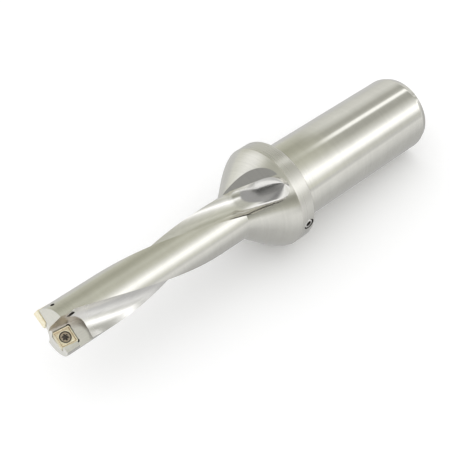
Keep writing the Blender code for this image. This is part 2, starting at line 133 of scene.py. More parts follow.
TIP_BANDS = (
    (-180.0, 1.03), (-163.0, 0.91), (-153.0, 0.81), (-143.0, 0.76), (-130.0, 0.95),
    (-60.0, 0.95), (20.0, 0.60), (38.0, 0.58), (46.0, 0.42), (54.0, 0.30), (62.0, 0.30),
    (68.0, 0.70), (73.0, 1.15), (80.0, 0.90), (88.0, 0.62), (98.0, 0.52), (130.0, 0.46),
    (146.0, 0.52), (157.0, 0.78), (168.0, 0.97), (180.0, 1.03),
)
# Each set of bands with how olive its darker parts are, and the rays' leans between the sets
BANDS = ((SHANK_BANDS, 0.12), (BODY_BANDS, 0.3), (TIP_BANDS, 0.2))
REAR_LEAN = (-0.571, -0.559)
TIP_LEAN = (-0.3, 0.1)
# Rays near the axis: how far they lean along it, their least and most to the camera, the level
AXIS_LEVELS = (
    ((0.44, 0.54), (-0.15, 0.0), (0.12, 0.25), 0.22),
    ((0.92, 0.98), (-0.15, 0.0), (0.12, 0.25), 0.04),
    ((0.66, 0.74), (0.12, 0.22), (0.9, 1.0), 0.33),
)
# The floor as the camera sees it, and as gloss sees it to the side of the axis and past the tip: a
# glow whose lower levels near the axis are the drill's painted shadow
SEEN_FLOOR = 1.1
FLOOR_REACH = 0.15
FLOOR_LEVELS = (
    (-0.15, 0.65), (-0.04, 0.63), (-0.01, 0.50), (0.007, 0.49), (0.013, 0.50), (0.024, 0.55),
    (0.032, 0.65), (0.047, 0.76), (0.09, 0.85), (0.15, 0.65),
)
PAST_TIP = (0.142, 0.152)
PAST_TIP_LEVEL = 0.92


def length(name, default, description):
    """A length property in metres."""
    return FloatProperty(
        name=name, description=description, default=default, unit="LENGTH", precision=5
    )


def angle(name, default, description):
    """An angle property, given here in degrees."""
    return FloatProperty(
        name=name, description=description, default=math.radians(default), subtype="ANGLE"
    )


def colour(name, default, description):
    """A colour property."""
    return FloatVectorProperty(
        name=name, description=description, default=default, size=3, subtype="COLOR"
    )


class BodySizes(bpy.types.PropertyGroup):
    """Sizes of the drill's body."""

    shank_diameter: length("Shank diameter", 0.025, "Diameter of the plain shank")
    shank_length: length("Shank length", 0.058, "Length from the rear face to the flange")
    shank_chamfer: length("Shank chamfer", 0.0008, "How far the rear chamfer reaches in")
    shank_chamfer_length: length("Shank chamfer length", 0.002, "Length of the rear chamfer")
    groove_width: length("Groove width", 0.0012, "Width of the grinding groove behind the flange")
    groove_depth: length("Groove depth", 0.0003, "Depth of the grinding groove")
    flange_diameter: length("Flange diameter", 0.033, "Diameter of the flange's rim")
    flange_rim: length("Flange rim", 0.0053, "Length of the flange's rim")
    flange_chamfer: length("Flange chamfer", 0.0004, "Chamfer of the flange's back edge")
    cone_length: length("Cone length", 0.0129, "Length of the cone before the flange")
    cone_bulge: length("Cone bulge", 0.00062, "How far the cone swells past a straight one")
    body_diameter: length("Body diameter", 0.0145, "Diameter of the fluted body")
    body_length: length("Body length", 0.0852, "Length from the flange's back to the body's end")
    core_radius: length("Core radius", 0.0025, "Distance from the axis to a flute's floor")
    flute_radius: length("Flute radius", 0.00528, "Radius of a flute's round floor")
    flute_lead: length("Flute lead", 0.1675, "Length of one full turn of the helix")
    flute_helix_start: length("Helix start", 0.0168, "Its height over the flange's back")
    flute_end: length("Flute end", 0.0059, "Its height over the flange's back")
    flute_ramp_start: length("Ramp start", 0.014, "Its height over the flange's back")
    flute_ramp_angle: angle("Ramp angle", 58.5, "Slope at which a flute runs out")
    flute_ramp_ease: length("Ramp ease", 0.0034, "How far the bend at the ramp's start is rounded")
    flute_wall_clearance: length("Heel clearance", 0.00045, "Gap from the heel's wall to the body")
    straight_length: length("Straight length", 0.0067, "Length at the tip with straight flutes")
    flute_tip_rise: length("Tip rise", 0.0013, "How far their floors rise along it")
    first_lip_angle: angle("Lip angle", 12.7, "Angle of the first flute's lip at the tip")
    facet_above_cone: length("Facet height", 0.0022, "Where it meets the axis, over the cone")
    facet_lean: angle("Facet lean", 40.7, "Lean of the flat at a flute's mouth")
    facet_heading: angle("Facet heading", 25.6, "Heading of that flat from the lip")
    rear_bore: length("Rear bore", 0.008, "Diameter of the rear coolant bore")
    rear_bore_depth: length("Rear bore depth", 0.045, "Depth of the rear coolant bore")
    rear_bore_chamfer: length("Rear bore chamfer", 0.0008, "Chamfer of the rear coolant bore")
    coolant_bore: length("Coolant bore", 0.0024, "Diameter of the bore up the middle")
    coolant_bore_end: length("Coolant bore end", 0.0133, "Distance from its end to the body's end")
    branch_bore: length("Branch bore", 0.0012, "Diameter of a slanted coolant branch")
    outlet_bore: length("Outlet bore", 0.0012, "Diameter of the small round outlet")
    outlet_angle: angle("Outlet angle", 137.5, "Where the small outlet lies round the body")
    outlet_below_end: length("Outlet below the end", 0.0036, "Distance from the body's end")
    plug_diameter: length("Plug diameter", 0.0031, "Diameter of the plug screw in the flange's rim")
    plug_angle: angle("Plug angle", 17.0, "Where the plug screw lies round the rim")
    plug_height: length("Plug height", 0.0024, "Height of the plug screw over the flange's back")
    edge_radius: length("Edge radius", 0.00018, "Radius that breaks the turned edges")


class InsertSizes(bpy.types.PropertyGroup):
    """Sizes of the inserts, their pockets and their screws."""

    cut_clearance: length("Cut clearance", 0.00025, "How far the outer insert cuts past the body")
    overlap: length("Overlap", 0.0028, "How much more than the cut's radius the two inserts span")
    thickness: length("Thickness", 0.00238, "Thickness of an insert")
    corner: length("Corner radius", 0.0004, "Radius of an insert's corners")
    clearance_angle: angle("Clearance angle", 11.0, "Lean of an insert's sides")
    hole: length("Hole", 0.00225, "Diameter of an insert's hole")
    sink_diameter: length("Countersink", 0.0034, "Diameter of the hole's countersink")
    sink_depth: length("Countersink depth", 0.0009, "Depth of the hole's countersink")
    inner_tilt: angle("Inner tilt", -5.8, "Tilt of the inner insert")
    inner_past_axis: length("Inner past axis", 0.00012, "How far the inner insert passes the axis")
    inner_standoff: length("Inner standoff", -0.00021, "How far the inner insert passes the end")
    outer_tilt: angle("Outer tilt", 2.6, "Tilt of the outer insert")
    outer_standoff: length("Outer standoff", 0.00044, "How far the outer insert passes the end")
    seat_gap: length("Seat gap", 0.0003, "Gap between an insert and its pocket")
    corner_hole: length("Corner hole", 0.0012, "Diameter of the hole at a pocket's corner")
    notch_step: length("Notch step", 0.00015, "How far the chip space lies below the rake face")
    notch_length: length("Notch length", 0.0066, "Length of the chip space behind the insert")
    notch_end_lean: angle("Notch end lean", 20.0, "Lean of the chip space's end")
    notch_corner: length("Notch corner", 0.0022, "Radius in the chip space's corner")
    inner_notch_tilt: angle("Inner notch tilt", -9.5, "Tilt of the inner chip space")
    inner_notch_gap: length("Inner notch gap", 0.0007, "Gap from the inner insert to its wall")
    outer_notch_gap: length("Outer notch gap", 0.0003, "Gap from the outer insert to its wall")
    chip_land: length("Land", 0.00034, "Width of the flat land along the cutting edge")
    chip_groove: length("Chip groove", 0.00017, "Depth of the chip groove")
    screw_length: length("Screw length", 0.0038, "Length of an insert screw")
    tapped_hole: length("Tapped hole", 0.0018, "Diameter of the screw's hole")
    screw_fit: length("Screw fit", 0.00028, "Gap round the screw")
    screw_recess: length("Screw recess", 0.00015, "How far the head lies below the rake face")
    lobe_radius: length("Lobe radius", 0.00106, "Radius of the six-lobe socket over its lobes")
    lobe_depth: length("Lobe depth", 0.0007, "Depth of the six-lobe socket")
    inner_end_drop: length("Inner end drop", 0.00075, "How much lower the inner tooth ends")
    inner_end_relief: angle("Inner end relief", 0.6, "Fall of the inner tooth's end")
    inner_end_tilt: angle("Inner end tilt", -1.0, "Tilt of the inner tooth's end")
    outer_end_start: length("Outer end start", 0.003, "Where the outer tooth's end begins to fall")
    outer_end_relief: angle("Outer end relief", 29.0, "Fall of the outer tooth's end")
    outer_end_tilt: angle("Outer end tilt", 6.0, "Tilt of the outer tooth's end")


class Finishes(bpy.types.PropertyGroup):
    """Colours of the drill and its surroundings."""

    ground_steel: colour("Ground steel", (0.80, 0.79, 0.735), "Ground shank, flange and lands")
    milled_steel: colour("Milled steel", (0.92, 0.91, 0.88), "Flutes, pockets and flats")
    gold_coating: colour("Gold coating", (1.0, 0.92, 0.70), "Coating of the inserts")
    # A browner gold that paints the shade in the chip grooves
    brown_coating: colour("Painted shade coating", (0.60, 0.46, 0.31), "Chip grooves of the inserts")
    screw_steel: colour("Screw steel", (0.54, 0.47, 0.38), "Heads of the insert screws")
    # A near-black that paints the shade inside holes, bores and sockets
    dark_steel: colour("Painted shade steel", (0.13, 0.12, 0.11), "Holes and sockets")
    # A darker, browner steel that paints the shade on the chip spaces' walls
    wall_steel: colour("Painted shade wall steel", (0.58, 0.54, 0.48), "Walls of the chip spaces")
    floor: colour("Floor", (0.93, 0.93, 0.93), "Floor and backdrop")


class StageSettings(bpy.types.PropertyGroup):
    """Camera, floor and sky."""

    lens: FloatProperty(name="Lens", description="Focal length in millimetres", default=84.0)
    turn: angle("Turn", 15.0, "How far the view is turned round the drill's axis")
    floor_heading: angle("Floor heading", -51.9, "Which way down is, round the axis")
    floor_size: length("Floor size", 1.6, "Width of the square floor")
    sky: FloatProperty(name="Sky", description="Strength of the plain light", default=1.0)
    steps_round: IntProperty(name="Steps", description="Steps round the body", default=288, min=24)


def body_end(sizes):
    """Height of the body's end."""
    return sizes.shank_length + sizes.body_length


def cone_top(sizes):
    """Height at which the cone meets the body."""
    return sizes.shank_length + sizes.flange_rim + sizes.cone_length


def rotate(points, turn):
    """Points turned about Z: x' = x cos - y sin, y' = x sin + y cos. The turn may be an array."""
    x = points[..., 0] * np.cos(turn) - points[..., 1] * np.sin(turn)
    y = points[..., 0] * np.sin(turn) + points[..., 1] * np.cos(turn)
    return np.stack([x, y, points[..., 2]], axis=-1)


def placed(points, matrix):
    """Points carried by a 4 by 4 matrix."""
    matrix = np.array(matrix)
    return points @ matrix[:3, :3].T + matrix[:3, 3]


def signed_volume(points, faces):
    """Six times a mesh's volume: the sum of a . (b x c) over the triangles of each face's fan."""
    total = 0.0
    for group in faces:
        first = points[group[:, :1]]
        a, b = points[group[:, 1:-1]], points[group[:, 2:]]
        total += (first * np.cross(a, b)).sum()
    return total


def loft(name, rings, materials, slot=0, closed=False):
    """A solid through rings, an array of rows by columns by 3.

    Point (i, j) joins (i, j + 1), (i + 1, j + 1) and (i + 1, j), and j wraps round. With closed
    rows i wraps too, as on a ring-shaped body. Otherwise a many-sided face closes each end. The
    slot is one number, or one for each row of faces and, if it isn't closed, one for the ends.
    """
    rows, columns = rings.shape[:2]
    points = rings.reshape(-1, 3)
    index = np.arange(rows * columns).reshape(rows, columns)
    if closed:
        index = np.vstack([index, index[:1]])
    after = np.roll(index, -1, axis=1)
    quads = np.stack([index[:-1], after[:-1], after[1:], index[1:]], axis=-1).reshape(-1, 4)
    faces = [quads]
    if not closed:
        faces += [index[:1, ::-1], index[-1:]]
    if signed_volume(points, faces) < 0:
        faces = [group[:, ::-1] for group in faces]
    mesh = bpy.data.meshes.new(name)
    mesh.vertices.add(len(points))
    mesh.vertices.foreach_set("co", points.ravel())
    corners = np.concatenate([group.ravel() for group in faces])
    counts = np.concatenate([np.full(len(group), group.shape[1]) for group in faces])
    mesh.loops.add(len(corners))
    mesh.loops.foreach_set("vertex_index", corners.astype(np.int32))
    mesh.polygons.add(len(counts))
    mesh.polygons.foreach_set("loop_start", (np.cumsum(counts) - counts).astype(np.int32))
    for material in materials:
        mesh.materials.append(material)
    slots = np.broadcast_to(slot, rows)
    ends = np.full(len(counts) - len(quads), slots[-1])
    chosen = np.concatenate([np.repeat(slots, columns)[:len(quads)], ends])
    mesh.polygons.foreach_set("material_index", chosen.astype(np.int32))
    mesh.update(calc_edges=True)
    made = bpy.data.objects.new(name, mesh)
    bpy.context.scene.collection.objects.link(made)
    return made


def smooth(made, degrees):
    """Smooth shading, with edges sharper than an angle kept."""
    mesh = made.data
    mesh.polygons.foreach_set("use_smooth", np.ones(len(mesh.polygons), dtype=bool))
    mesh.set_sharp_from_angle(angle=math.radians(degrees))
    mesh.update()


def softened(corners, steps=5):
    """A profile with its corners rounded.

    Each corner is (radius, height, size). With d1 and d2 the steps of that size back along the two
    sides, a corner P becomes (1-u)^2 (P+d1) + 2u(1-u) P + u^2 (P+d2) for u from 0 to 1.
    """
    points = []
    for place, (radius, height, size) in enumerate(corners):
        here = np.array([radius, height])
        if size == 0.0 or place in (0, len(corners) - 1):
            points.append(here[None])
            continue
        back = np.array(corners[place - 1][:2]) - here
        on = np.array(corners[place + 1][:2]) - here
        back *= min(size / np.linalg.norm(back), 0.45)
        on *= min(size / np.linalg.norm(on), 0.45)
        u = np.linspace(0.0, 1.0, steps)[:, None]
        points.append((1 - u) ** 2 * (here + back) + 2 * u * (1 - u) * here + u**2 * (here + on))
    return np.concatenate(points)


def turned(profile, steps):
    """Rings of a profile of (radius r, height z) turned about Z: (r cos a, r sin a, z)."""
    a = np.linspace(0.0, 2 * math.pi, steps, endpoint=False)
    radius = profile[:, :1]
    height = np.repeat(profile[:, 1:2], steps, axis=1)
    return np.stack([radius * np.cos(a), radius * np.sin(a), height], axis=-1)


def rod(start, end, radius, steps=48):
    """Rings of a round rod: each of its ends + radius (cos a U + sin a V)."""
    start, end = Vector(start), Vector(end)
    way = (end - start).normalized()
    side = way.orthogonal().normalized()
    up = way.cross(side)
    a = np.linspace(0.0, 2 * math.pi, steps, endpoint=False)[:, None]
    ring = radius * (np.cos(a) * np.array(side) + np.sin(a) * np.array(up))
    return np.stack([ring + np.array(start), ring + np.array(end)])


def prism(outline, low, high):
    """Rings of a prism over a flat outline: rows are the outline at the low and high heights."""
    rows = []
    for height in (low, high):
        height = np.broadcast_to(height, (len(outline),))
        rows.append(np.column_stack([outline, height]))
    return np.stack(rows)


def plane_height(outline, point, normal):
    """Height of a plane over flat points: z = pz - (nx (x - px) + ny (y - py)) / nz."""
    x, y = outline[:, 0] - point[0], outline[:, 1] - point[1]
    return point[2] - (normal[0] * x + normal[1] * y) / normal[2]


def rectangle(x0, y0, x1, y1):
    """Corners of a rectangle, anticlockwise."""
    return np.array([(x0, y0), (x1, y0), (x1, y1), (x0, y1)])


def triangulate(made):
    """Turns a cutter's faces into triangles, which are always flat."""
    modifier = made.modifiers.new("Triangles", "TRIANGULATE")
    modifier.min_vertices = 4


def subtract(made, cutters):
    """Takes the cutters away from a piece and keeps the result as its mesh."""
    for cutter in cutters:
        boolean = made.modifiers.new(cutter.name, "BOOLEAN")
        boolean.operation = "DIFFERENCE"
        boolean.solver = "EXACT"
        boolean.object = cutter
    bpy.context.view_layer.update()
    graph = bpy.context.evaluated_depsgraph_get()
    mesh = bpy.data.meshes.new_from_object(made.evaluated_get(graph), depsgraph=graph)
    made.modifiers.clear()
    old = made.data
    made.data = mesh
    mesh.name = made.name
    bpy.data.meshes.remove(old)
    for cutter in cutters:
        old = cutter.data
        bpy.data.objects.remove(cutter)
        bpy.data.meshes.remove(old)


def blank_profile(sizes):
    """Profile of the turned blank from the rear face to the tip.

    The cone's radius at share d down it is body + (rim - body) d + bulge 27/4 d^2 (1 - d).
    """
    shank = sizes.shank_diameter / 2
    rim = sizes.flange_diameter / 2
    body = sizes.body_diameter / 2
    back = sizes.shank_length
    top = cone_top(sizes)
    soft = sizes.edge_radius
    lower = softened([
        (shank - sizes.shank_chamfer, 0.0, 0.0),
        (shank, sizes.shank_chamfer_length, soft * 2),
        (shank, back - sizes.groove_width - sizes.groove_depth, soft / 2),
        (shank - sizes.groove_depth, back - sizes.groove_width, soft / 2),
        (shank - sizes.groove_depth, back, 0.0),
        (rim - sizes.flange_chamfer, back, soft),
        (rim, back + sizes.flange_chamfer, soft),
        (rim, back + sizes.flange_rim - soft, 0.0),
    ])
    down = np.linspace(1.0, 0.0, CONE_ROWS)
    swell = sizes.cone_bulge * 27 / 4 * down**2 * (1 - down)
    cone = np.column_stack([body + (rim - body) * down + swell, top - sizes.cone_length * down])
    corner = [(*lower[-1], 0.0), (rim, cone[0, 1], soft * 2), (*cone[3], 0.0)]
    upper = np.array([(body, top + 0.0005), (body, body_end(sizes))])
    return np.concatenate([lower[:-1], softened(corner, 7), cone[4:], upper])


def flute_section(sizes):
    """The flute's outline: x runs out along the lip and y from the lip to the heel.

    The floor is an arc of the flute's radius about a middle at (x, y), from straight below it,
    round the axis side, to the heel's wall, which is parallel to the lip's. Returns the outline
    and its lowest and highest y.
    """
    body = sizes.body_diameter / 2
    round_floor = sizes.flute_radius
    centre = sizes.core_radius + round_floor
    half = math.acos((body**2 + centre**2 - round_floor**2) / (2 * body * centre))
    x, y = centre * math.cos(half), centre * math.sin(half)
    heel = body * math.sin(2 * half) + sizes.flute_wall_clearance
    a = np.linspace(math.pi / 2, math.pi + math.asin((heel - y) / round_floor), FLUTE_STEPS)
    outside = sizes.flange_diameter / 2 + PAST
    arc = np.column_stack([x + round_floor * np.cos(a), y - round_floor * np.sin(a)])
    outline = np.concatenate([[(outside, y - round_floor)], arc, [(outside, heel)]])
    return outline, y - round_floor, heel


def lip_angle(sizes, height):
    """Angle of the first flute's lip: the tip's angle less a full turn for each lead below it."""
    straight = body_end(sizes) - sizes.straight_length
    helix = sizes.shank_length + sizes.flute_helix_start
    down = straight - np.clip(height, helix, straight)
    return sizes.first_lip_angle - 2 * math.pi * down / sizes.flute_lead


def flute(sizes, turn):
    """Rings of one flute's cutter.

    The outline is carried down the helix. Below the ramp's start it moves out by tan(ramp angle)
    times the drop. Within ease of that start the drop is (drop + ease)^2 / (4 ease) instead, which
    rounds the bend. Near the flute's end its width shrinks as a circle. Along the straight length
    at the tip it rises in proportion to the height.
    """
    outline, low, high = flute_section(sizes)
    middle, reach = (low + high) / 2, (high - low) / 2
    top = body_end(sizes)
    straight = top - sizes.straight_length
    ramp = sizes.shank_length + sizes.flute_ramp_start
    end = sizes.shank_length + sizes.flute_end + reach
    a = np.radians(np.linspace(0.0, RUNOUT_DEGREES, RUNOUT_ROWS))
    spread = np.concatenate([[top + 2 * PAST], np.linspace(straight, end, FLUTE_ROWS)[:-1]])
    height = np.concatenate([spread, end - reach * np.sin(a)])[:, None]
    width = np.concatenate([np.ones(len(spread)), np.cos(a)])[:, None]
    drop = ramp - height
    ease = sizes.flute_ramp_ease
    eased = np.clip(drop + ease, 0.0, 2 * ease) ** 2 / (4 * ease)
    lift = np.where(drop > ease, drop, eased) * math.tan(sizes.flute_ramp_angle)
    lift = lift + np.maximum(height - straight, 0.0) / sizes.straight_length * sizes.flute_tip_rise
    moved = np.ones(len(outline))
    moved[[0, -1]] = 0.0
    x = outline[:, 0] + lift * moved
    y = middle + (outline[:, 1] - middle) * width
    z = np.broadcast_to(height, x.shape)
    return rotate(np.stack([x, y, z], axis=-1), lip_angle(sizes, height) + turn)


def mouth_facet(sizes, turn):
    """Rings of what lies above the leaning flat at a flute's mouth, on the heel's side."""
    heel = flute_section(sizes)[2]
    lean = Matrix.Rotation(sizes.facet_heading, 3, "Z") @ Matrix.Rotation(sizes.facet_lean, 3, "Y")
    normal = lean @ Vector((0.0, 0.0, 1.0))
    rim = sizes.flange_diameter / 2
    side = heel - sizes.flute_wall_clearance / 2
    outline = rectangle(-sizes.flute_radius, side, rim + PAST, rim)
    low = plane_height(outline, (0.0, 0.0, cone_top(sizes) + sizes.facet_above_cone), normal)
    rings = prism(outline, low, cone_top(sizes) + sizes.cone_length)
    helix = sizes.shank_length + sizes.flute_helix_start
    return rotate(rings, float(lip_angle(sizes, helix)) + turn)


def half_side(sizes, inserts):
    """Half of an insert's side: the two inserts together span the cut and an overlap."""
    return (sizes.body_diameter / 2 + inserts.cut_clearance + inserts.overlap) / 4


def insert_frame(sizes, inserts, inner):
    """An insert's place: x outward, y to the tip, z out of the rake face, origin at its middle."""
    half = half_side(sizes, inserts)
    tilt = inserts.inner_tilt if inner else inserts.outer_tilt
    cosine, sine = math.cos(tilt), math.sin(tilt)
    if inner:
        out = half * (cosine - sine) - inserts.inner_past_axis
        standoff = inserts.inner_standoff
    else:
        cut = sizes.body_diameter / 2 + inserts.cut_clearance
        out = cut - inserts.corner - (half - inserts.corner) * (cosine + sine)
        standoff = inserts.outer_standoff
    height = body_end(sizes) + standoff - half * cosine
    axes = Matrix(((cosine, 0.0, -sine), (sine, 0.0, cosine), (0.0, 1.0, 0.0)))
    place = Matrix.Translation((out, 0.0, height)) @ axes.transposed().to_4x4()
    return place if inner else Matrix.Rotation(math.pi, 4, "Z") @ place


def notch_frame(sizes, inserts, inner):
    """A chip space's place: its insert's, turned for the inner one."""
    tilt = inserts.inner_notch_tilt - inserts.inner_tilt if inner else 0.0
    return insert_frame(sizes, inserts, inner) @ Matrix.Rotation(-tilt, 4, "Z")


def notch(sizes, inserts, inner):
    """Rings of the chip space before an insert: a flat outline carried out from the rake face.

    The outline has a round corner at its inner end, and that end moves by z tan(lean) as z grows.
    """
    half = half_side(sizes, inserts)
    wall = -half - (inserts.inner_notch_gap if inner else inserts.outer_notch_gap)
    outside = half + inserts.seat_gap if inner else sizes.flange_diameter / 2
    corner = inserts.notch_corner
    rows = []
    for z in np.linspace(-inserts.notch_step, sizes.flange_diameter / 2, 2):
        end = -inserts.notch_length + z * math.tan(inserts.notch_end_lean)
        a = np.linspace(math.pi, 1.5 * math.pi, 16)
        x, y = wall + corner + corner * np.cos(a), end + corner + corner * np.sin(a)
        others = [(outside, end), (outside, half + PAST), (wall, half + PAST)]
        flat = np.concatenate([np.column_stack([x, y]), others])
        rows.append(np.column_stack([flat, np.full(len(flat), z)]))
    return placed(np.stack(rows), notch_frame(sizes, inserts, inner))


def side_notch(sizes, inserts):
    """Rings of the part of the inner chip space that runs out behind the pocket."""
    rows = []
    for z in np.linspace(-inserts.notch_step - SIDE_NOTCH_STEP, sizes.flange_diameter / 2, 2):
        end = -inserts.notch_length - SIDE_NOTCH_STEP + z * math.tan(inserts.notch_end_lean)
        front = max(inserts.corner - half_side(sizes, inserts), end + SMALLEST_CORNER)
        flat = rectangle(0.0, end, sizes.flange_diameter / 2, front)
        rows.append(np.column_stack([flat, np.full(4, z)]))
    return placed(np.stack(rows), notch_frame(sizes, inserts, True))


def pocket(sizes, inserts, inner):
    """Rings of an insert's pocket: a square that shrinks with depth, open to the tip."""
    slope = math.tan(inserts.clearance_angle)
    rows = []
    for z in (-inserts.thickness - inserts.seat_gap, 2 * inserts.notch_step):
        half = half_side(sizes, inserts) + inserts.seat_gap + z * slope
        flat = rectangle(-half, -half, half if inner else half + PAST, half + PAST)
        rows.append(np.column_stack([flat, np.full(4, z)]))
    return placed(np.stack(rows), insert_frame(sizes, inserts, inner))


def tooth_end(sizes, inserts, inner):
    """Rings of what lies past a tooth's end face, a plane that falls away behind the insert."""
    end = body_end(sizes)
    relief = inserts.inner_end_relief if inner else inserts.outer_end_relief
    tilt = inserts.inner_end_tilt if inner else inserts.outer_end_tilt
    point = (0.0, -inserts.outer_end_start, end)
    if inner:
        point = (0.0, 0.0, end - inserts.inner_end_drop)
    fall = Matrix.Rotation(tilt, 3, "Y") @ Matrix.Rotation(relief, 3, "X")
    reach = sizes.body_diameter
    outline = rectangle(-reach, -reach, reach, 0.0)
    low = plane_height(outline, point, fall @ Vector((0.0, 0.0, 1.0)))
    return rotate(prism(outline, low, end + 2 * PAST), 0.0 if inner else math.pi)


def coolant_branch(sizes, turn):
    """Rings of two joined bores: from the middle bore to a bend, and on to a chip space's wall."""
    place = Matrix.Rotation(turn, 4, "Z") @ Matrix.Translation((0.0, 0.0, body_end(sizes)))
    start, bend, leave = [Vector(point) for point in BRANCH_POINTS]
    radius = sizes.branch_bore / 2
    past_bend = bend + (bend - start).normalized() * radius
    past_exit = leave + (leave - bend).normalized() * BRANCH_PAST
    bores = ((start, past_bend), (bend, past_exit))
    return [rod(place @ low, place @ high, radius) for low, high in bores]


def plug_frame(sizes):
    """The plug screw's place: its z points out through the rim."""
    out = Matrix.Translation((sizes.flange_diameter / 2, 0.0, 0.0))
    out = Matrix.Rotation(sizes.plug_angle, 4, "Z") @ out
    rise = Matrix.Translation((0.0, 0.0, sizes.shank_length + sizes.plug_height))
    return rise @ out @ Matrix.Rotation(math.pi / 2, 4, "Y")


def coolant_profile(sizes):
    """Profile of the stepped bore up the middle, open at the rear face."""
    wide, narrow, chamfer = sizes.rear_bore / 2, sizes.coolant_bore / 2, sizes.rear_bore_chamfer
    top = body_end(sizes) - sizes.coolant_bore_end
    return np.array([
        (wide + chamfer, -PAST),
        (wide + chamfer, 0.0),
        (wide, chamfer),
        (wide, sizes.rear_bore_depth),
        (narrow, sizes.rear_bore_depth + wide - narrow),
        (narrow, top),
        (narrow / 50, top + narrow),
    ])


def body_cutters(sizes, inserts):
    """Names, rings and finish slots of all that is cut from the blank."""
    # Holes and bores get the painted shade steel, a near-black that stands for the shade inside
    # them
    cuts = [("coolant bore", turned(coolant_profile(sizes), BORE_STEPS), MILLED)]
    for number, turn in enumerate((0.0, math.pi)):
        cuts.append((f"flute {number}", flute(sizes, turn), MILLED))
        cuts.append((f"mouth facet {number}", mouth_facet(sizes, turn), GROUND))
    for inner in (True, False):
        which = "inner" if inner else "outer"
        place = insert_frame(sizes, inserts, inner)
        inset = half_side(sizes, inserts) - inserts.corner / 2
        floor = -inserts.thickness - inserts.seat_gap
        deep = -inserts.screw_length - HOLE_ROOM
        cuts.append((which + " tooth end", tooth_end(sizes, inserts, inner), GROUND))
        # A chip space's side walls take the painted shade wall steel: painted shade on the wall
        cuts.append((which + " notch", notch(sizes, inserts, inner), [PAINTED_WALL_SHADE, MILLED]))
        cuts.append((which + " pocket", pocket(sizes, inserts, inner), MILLED))
        ends = [place @ Vector((0.0, 0.0, z)) for z in (floor / 2, deep)]
        cuts.append((which + " screw hole", rod(*ends, inserts.tapped_hole / 2), PAINTED_SHADE))
        for side in (-1, 1) if inner else (-1,):
            top = sizes.flange_diameter / 2 if side > 0 else 3 * inserts.notch_step
            ends = [place @ Vector((side * inset, -inset, z)) for z in (floor, top)]
            cuts.append((f"{which} corner hole {side}", rod(*ends, inserts.corner_hole / 2), PAINTED_SHADE))
    cuts.append(("inner side notch", side_notch(sizes, inserts), MILLED))
    for turn in (0.0, math.pi):
        cuts += [("coolant branch", rings, PAINTED_SHADE) for rings in coolant_branch(sizes, turn)]
    out = Vector((math.cos(sizes.outlet_angle), math.sin(sizes.outlet_angle), 0.0))
    rise = Vector((0.0, 0.0, body_end(sizes) - sizes.outlet_below_end))
    body = sizes.body_diameter / 2
    ends = [rise + out * (body + depth) for depth in (-OUTLET_DEPTH, PAST)]
    cuts.append(("outlet", rod(*ends, sizes.outlet_bore / 2), PAINTED_SHADE))
    ends = [plug_frame(sizes) @ Vector((0.0, 0.0, z)) for z in (-PLUG_HOLE_DEPTH, PAST)]
    hole = rod(*ends, sizes.plug_diameter / 2 + HOLE_ROOM, PLUG_HOLE_STEPS)
    cuts.append(("plug hole", hole, PAINTED_SHADE))
    return cuts


def flat_ring(radius, a, height):
    """Points (radius cos a, radius sin a), all at one height."""
    return np.column_stack([radius * np.cos(a), radius * np.sin(a), np.full(len(a), height)])


def insert_rings(sizes, inserts):
    """Rings of an insert, as a closed band round its hole.

    A point at angle a lies at radius R(a) - d from the middle, where R is the rounded square's edge
    and d the distance in from it. Over the chip former the ring turns from that square to a circle:
    radius = (1 - w) (R - d) + w c. The height follows a land, a groove, a raised ring and the
    countersink, and the sides lean in by the clearance angle. Also gives each row's finish: the
    coating, a browner one as painted shade in the groove and a near-black one as painted shade in
    the hole.
    """
    half = half_side(sizes, inserts)
    corner = inserts.corner
    u = np.linspace(0.0, 2 * math.pi, INSERT_STEPS, endpoint=False)
    a = u + CORNER_CROWDING * np.sin(4 * u)
    sink, hole = inserts.sink_diameter / 2, inserts.hole / 2
    slope = math.tan(inserts.clearance_angle)
    groove = inserts.chip_groove
    bottom = -inserts.thickness
    land = inserts.chip_land
    # Each row is d, the height and w
    profile = [
        (-bottom * slope, bottom, 0.0),
        (0.0, -0.00003, 0.0),
        (0.00003, 0.0, 0.0),
        (land, 0.0, 0.0),
        (land + 0.00008, -groove * 0.55, 0.0),
        (land + 0.00018, -groove, 0.02),
        (land + 0.00028, -groove * 0.95, 0.06),
        (land + 0.00038, -groove * 0.66, 0.16),
        (land + 0.00046, -groove * 0.4, 0.3),
        (land + 0.00056, -groove * 0.3, 0.6),
    ]
    rows = []
    for d, z, w in profile:
        square = square_radius(a, half - d, max(corner - d, SMALLEST_CORNER))
        rows.append(((1 - w) * square + w * (sink + RAISED_RING), z))
    # Each row from here on is the radius and the height
    rows += [
        (sink + 0.00012, -groove * 0.28),
        (sink, -groove * 0.45),
        (sink - 0.00008, -groove * 1.2),
        (hole, -inserts.sink_depth),
        (hole, bottom),
    ]
    slots = np.zeros(len(rows), dtype=int)
    # The groove takes the browner gold: painted shade in the chip groove
    slots[3:5] = INSERT_FINISHES.index("Painted shade gold coating")
    # The countersink and the hole's wall take the painted shade steel: painted shade in the hole
    slots[11:14] = INSERT_FINISHES.index("Painted shade steel")
    return np.stack([flat_ring(radius, a, z) for radius, z in rows]), slots


def square_radius(a, half, corner):
    """Distance from the middle to a rounded square's edge at angles a.

    On a side it is half / cos(b), b being the angle from the side's middle. Past the arc's start
    it solves |t e - m| = corner, where e points at b and m is the arc's middle.
    """
    b = np.abs((a + math.pi / 4) % (math.pi / 2) - math.pi / 4)
    side = half / np.cos(b)
    m = half - corner
    along = m * (np.cos(b) + np.sin(b))
    arc = along + np.sqrt(np.maximum(along**2 - 2 * m**2 + corner**2, 0.0))
    return np.where(half * np.tan(b) > m, arc, side)


def lobed(radius, a, depth):
    """A six-lobe outline: radius (1 - depth (1 - cos 6a) / 2)."""
    return radius * (1 - depth * (1 - np.cos(6 * a)) / 2)


